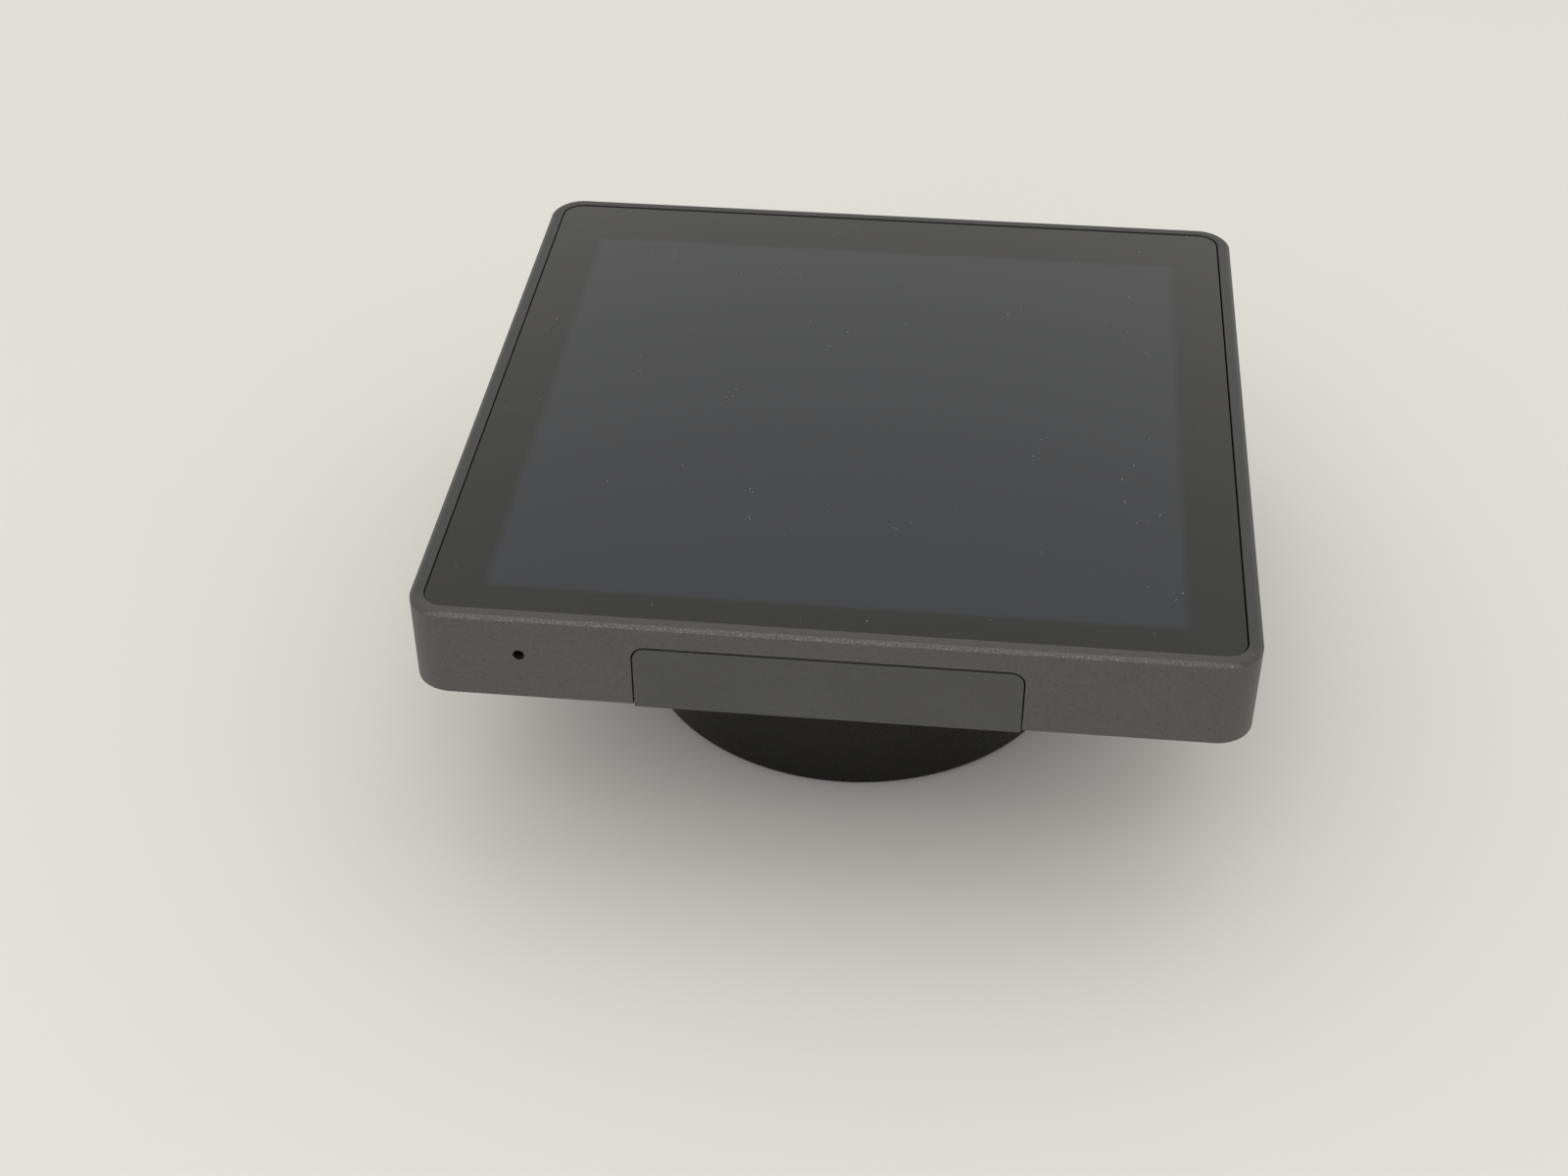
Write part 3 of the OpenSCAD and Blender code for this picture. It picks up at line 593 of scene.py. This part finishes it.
def screws(nodeName):
    places, headR, headH, shankR, pitch = screwSets[nodeName]
    cut = screwCut
    lo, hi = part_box(nodeName)
    length = hi.z - lo.z
    r = Recipe("screw_" + nodeName, {
        "Head Radius": headR * mm, "Head Height": headH * mm, "Edge Break": headR * cut["breakShare"] * mm,
        "Core Radius": (shankR - cut["coreCut"]) * mm, "Length": length, "Thread Depth": cut["thread"] * mm,
        "Thread Turns": (length / mm - headH - cut["turnsShort"]) / pitch,
        "Socket Radius": headR * cut["socketWide"] * mm, "Socket Depth": headH * cut["socketDeep"] * mm})
    headRadius, headHeight, core = r.size("Head Radius"), r.size("Head Height"), r.size("Core Radius")
    socketDepth, shankLength = r.size("Socket Depth"), r.size("Length") - headHeight
    # the head's top faces down, with the socket in it; the shank and its thread stand on the head
    blank = r.taper(headRadius, headRadius - r.size("Edge Break"), headHeight, cut["headSides"], 0.0)
    socket = r.drum(r.size("Socket Radius"), socketDepth * 2.0, cut["socketSides"], 0.0)
    head = r.cut(blank, r.moved(socket, (0.0, 0.0, socketDepth * -1.0)))
    shank = r.drum(core, shankLength, cut["shankSides"], headHeight)
    spiral = r.add("GeometryNodeCurveSpiral", None, {
        "Resolution": cut["shankSides"], "Rotations": r.size("Thread Turns"), "Start Radius": core,
        "End Radius": core, "Height": shankLength - cut["threadGap"] * 2 * mm})
    section = r.add("GeometryNodeCurvePrimitiveCircle", None,
                    {"Resolution": cut["threadSides"], "Radius": r.size("Thread Depth")})
    thread = r.add("GeometryNodeCurveToMesh", None, {"Curve": spiral, "Profile Curve": section})
    thread = r.moved(thread, (0.0, 0.0, headHeight + cut["threadGap"] * mm))
    places = [(x, y, lo.z / mm) for x, y, z in places]
    shape = r.atPoints(r.joined(head, shank, thread))
    standIn(r.grow(nodeName + "Set", places, nodeFinish[nodeName], shape), nodeName)


for nodeName in screwSets:
    screws(nodeName)
print("screws made")


tongues = {"service_port": 1.0, "power_inlet": -1.0}  # which way each socket runs in from its mouth
tongueSize = {"wide": 6.74, "long": 5.2, "thick": 0.74, "edge": 0.12, "in": 3.55}  # in millimetres


def tongue(nodeName):
    # a black moulded blade, a close sleeve over the plain blade that the socket's node has
    lo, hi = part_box(nodeName)
    way = tongues[nodeName]
    mouth = lo.y if way > 0 else hi.y
    middle = Vector(((lo.x + hi.x) / 2, mouth + way * tongueSize["in"] * mm, (lo.z + hi.z) / 2))
    size = Vector((tongueSize["wide"], tongueSize["long"], tongueSize["thick"])) * mm
    bm = bmesh.new()
    bmesh.ops.create_cube(bm, size=1)
    bmesh.ops.scale(bm, vec=size, verts=bm.verts)
    long = [e for e in bm.edges if abs((e.verts[0].co - e.verts[1].co).x) > mm]
    bmesh.ops.bevel(bm, geom=long, offset=tongueSize["edge"] * mm, segments=2, affect="EDGES")
    bmesh.ops.translate(bm, verts=bm.verts, vec=middle)
    bmesh.ops.recalc_face_normals(bm, faces=bm.faces)
    mesh = bpy.data.meshes.new(nodeName + "Tongue")
    bm.to_mesh(mesh)
    bm.free()
    piece = newPiece(nodeName + "Tongue", mesh, "chipEpoxy")
    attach(piece, "head")


for nodeName in tongues:
    tongue(nodeName)
print("tongues made")


contactRows = {
    # the socket's node, the size of one contact, then the rows: first place, step and count, in millimetres
    "portContacts": ("service_port", (0.25, 2.6, 0.05),
                     [((-2.75, 2.75, 0.38), 0.5, 12), ((-2.75, 2.75, -0.38), 0.5, 12)]),
    "inletContacts": ("power_inlet", (0.25, 2.6, 0.05),
                      [((-2.75, -2.75, 0.38), 0.5, 12), ((-2.75, -2.75, -0.38), 0.5, 12)]),
    "simContacts": ("sim_socket", (1.1, 1.8, 0.12),
                    [((-2.54, -1.2, -0.34), 2.54, 3), ((-2.54, 2.4, -0.34), 2.54, 3)]),
    "cardContacts": ("memory_card_socket", (0.6, 3.2, 0.12),
                     [((-3.85, 2.2, -0.34), 1.1, 8)]),
}


def contacts(name):
    nodeName, (wide, long, thick), rows = contactRows[name]
    lo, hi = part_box(nodeName)
    mid = (lo + hi) / (2 * mm)
    if nodeName in tongues:
        # rows on a tongue are measured from the socket's mouth
        mid.y = (lo.y if tongues[nodeName] > 0 else hi.y) / mm
    places = []
    for (x, y, z), step, count in rows:
        places += [(mid.x + x + i * step, mid.y + y, mid.z + z) for i in range(count)]
    r = Recipe(name, {"Width": wide * mm, "Length": long * mm, "Thickness": thick * mm})
    span = r.add("ShaderNodeCombineXYZ", None,
                 {0: r.size("Width"), 1: r.size("Length"), 2: r.size("Thickness")})
    bar = r.add("GeometryNodeMeshCube", None, {"Size": span})
    piece = r.grow(name, places, "goldPlate", r.atPoints(bar))
    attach(piece, "head")


for name in contactRows:
    contacts(name)
print("contacts made")


footPad = {  # in millimetres
    "stud": 0.75, "rise": 0.16, "pitch": 2.3, "margin": 1.3, "bore": 8,
    "studTop": 0.78, "studRoot": 1.2,  # shares of the stud's radius and rise
    "studSides": 10, "rimSides": 96, "boreSides": 64,
}


def studPlaces(outer):
    # a close-packed pattern over the pad's ring
    pad = footPad
    reach = int(outer / pad["pitch"]) + 2
    rowStep = 0.866  # rows of a close-packed pattern lie nearer than the studs in a row
    places = []
    for i in range(-reach, reach + 1):
        for j in range(-reach, reach + 1):
            x, y = (i + 0.5 * (j % 2)) * pad["pitch"], j * pad["pitch"] * rowStep
            if pad["bore"] + pad["margin"] < math.hypot(x, y) < outer - pad["margin"]:
                places.append((x, y, 0))
    return places


def footPadPiece():
    pad = footPad
    lo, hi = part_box("foot_pad")
    r = Recipe("footPad", {
        "Stud Radius": pad["stud"] * mm, "Stud Rise": pad["rise"] * mm, "Outer Radius": hi.x,
        "Inner Radius": pad["bore"] * mm, "Thickness": hi.z - lo.z})
    rise, thick, studRadius = r.size("Stud Rise"), r.size("Thickness"), r.size("Stud Radius")
    stud = r.taper(studRadius, studRadius * pad["studTop"], rise * pad["studRoot"], pad["studSides"], 0.0)
    disc = r.drum(r.size("Outer Radius"), thick - rise, pad["rimSides"], rise)
    bore = r.drum(r.size("Inner Radius"), thick * 3.0, pad["boreSides"], thick * -1.0)
    shape = r.joined(r.cut(disc, bore), r.atPoints(stud))
    standIn(r.grow("footPadStudded", studPlaces(hi.x / mm), "footRubber", shape), "foot_pad")


footPadPiece()
print("foot pad made")


shot = {  # the camera: millimetres and degrees, clipping in metres
    "aim": (-5.1, -35.2, 35.8), "turn": 6.31, "rise": 38.32, "away": 233.8, "roll": -0.29,
    "lens": 52.76, "sensor": 36, "clip": (0.01, 60),
}


def makeCamera():
    cam = bpy.data.objects.new("camera", bpy.data.cameras.new("camera"))
    bpy.context.scene.collection.objects.link(cam)
    turn, rise = math.radians(shot["turn"]), math.radians(shot["rise"])
    back = Vector((math.sin(turn) * math.cos(rise), -math.cos(turn) * math.cos(rise), math.sin(rise)))
    cam.rotation_mode = "QUATERNION"
    cam.location = Vector(shot["aim"]) * mm + back * shot["away"] * mm
    facing = (-back).to_track_quat("-Z", "Y")
    cam.rotation_quaternion = facing @ Quaternion((0, 0, 1), math.radians(shot["roll"]))
    cam.data.lens = shot["lens"]
    cam.data.sensor_width = shot["sensor"]
    cam.data.clip_start, cam.data.clip_end = shot["clip"]
    bpy.context.scene.camera = cam


def areaLight(name, place, aim, size, power, color):
    light = bpy.data.lights.new(name, "AREA")
    light.shape = "RECTANGLE"
    light.size, light.size_y = size
    light.energy = power
    light.color = color
    lamp = bpy.data.objects.new(name, light)
    bpy.context.scene.collection.objects.link(lamp)
    lamp.location = place
    lamp.rotation_mode = "QUATERNION"
    lamp.rotation_quaternion = (Vector(aim) - Vector(place)).to_track_quat("-Z", "Y")


room = {  # angles in degrees, places and sizes in metres
    "strength": 0.93, "tint": (1.0, 0.99, 0.97), "even": 0.65, "evenRise": 0.36,
    "dim": 0.68, "dimTurn": -5, "dimRise": 46, "dimFrom": 24, "dimTo": 7,
    "glow": 1.3, "glowFrom": 62, "glowTo": 26,
    "lamp": 1.2, "lampColor": (1, 0.985, 0.955), "lampPlace": (0.06, 0.17, 1.2), "lampAim": (0, 0, 0),
    "lampSize": (0.9, 0.7),
    "fill": 1.2, "fillColor": (1, 0.99, 0.97), "fillPlace": (-0.12, -0.55, 0.62), "fillAim": (0, -0.06, 0),
    "fillSize": (0.7, 0.5),
}
table = {  # sizes in metres, but the cloud and drop in millimetres
    "color": (0.735, 0.722, 0.690), "shade": (0.72, 0.704, 0.670), "cloud": 90, "rough": (0.6, 0.1),
    "size": 15, "squares": 8, "drop": 0.02,
}


def makeSurround():
    # a white room with a brighter patch up behind the object, darker in the middle of that patch
    world = bpy.data.worlds.new("room")
    bpy.context.scene.world = world
    world.use_nodes = True
    g = Graph(world.node_tree)
    g.tree.nodes.clear()
    turn, rise = math.radians(room["dimTurn"]), math.radians(room["dimRise"])
    spot = (math.sin(turn) * math.cos(rise), math.cos(turn) * math.cos(rise), math.sin(rise))
    along = g.add("ShaderNodeTexCoord").out("Generated")
    near = g.add("ShaderNodeVectorMath", {"operation": "DOT_PRODUCT"}, {0: along, 1: spot}).out("Value")
    level = room["strength"]
    for start, stop, change in (("dimFrom", "dimTo", "dim"), ("glowFrom", "glowTo", "glow")):
        level = level * g.add("ShaderNodeMapRange", {"interpolation_type": "SMOOTHSTEP"}, {
            "Value": near, "From Min": math.cos(math.radians(room[start])),
            "From Max": math.cos(math.radians(room[stop])), "To Min": 1.0, "To Max": room[change]})
    # what lights the object is even; only what it mirrors has the brighter and darker parts
    mirrored = g.add("ShaderNodeLightPath").out("Is Glossy Ray")
    overhead = g.add("ShaderNodeSeparateXYZ", None, {0: along}).out("Z").apply("MAXIMUM", 0.0)
    even = overhead * room["evenRise"] + room["even"]
    level = level * mirrored + even * (1 - mirrored)
    background = g.add("ShaderNodeBackground", None, {"Color": (*room["tint"], 1), "Strength": level})
    g.add("ShaderNodeOutputWorld", None, {"Surface": background})


def makeTable():
    bm = bmesh.new()
    bmesh.ops.create_grid(bm, x_segments=table["squares"], y_segments=table["squares"], size=table["size"])
    bmesh.ops.translate(bm, verts=bm.verts, vec=(0, 0, -table["drop"] * mm))
    mesh = bpy.data.meshes.new("table")
    bm.to_mesh(mesh)
    bm.free()
    f = Finish("tableTop")
    cloud = f.noise(table["cloud"], 3)
    color = f.mix(cloud, table["color"], table["shade"])
    low, span = table["rough"]
    mesh.materials.append(f.done({"Base Color": color, "Roughness": low + cloud * span,
                                  "Specular IOR Level": 0.0}))
    floor = bpy.data.objects.new("table", mesh)
    bpy.context.scene.collection.objects.link(floor)


def makeRoom():
    bpy.context.scene.view_settings.view_transform = "Standard"
    makeSurround()
    for name in ("lamp", "fill"):
        areaLight(name, room[name + "Place"], room[name + "Aim"], room[name + "Size"], room[name],
                  room[name + "Color"])
    makeTable()


makeCamera()
makeRoom()
print("camera and room made")
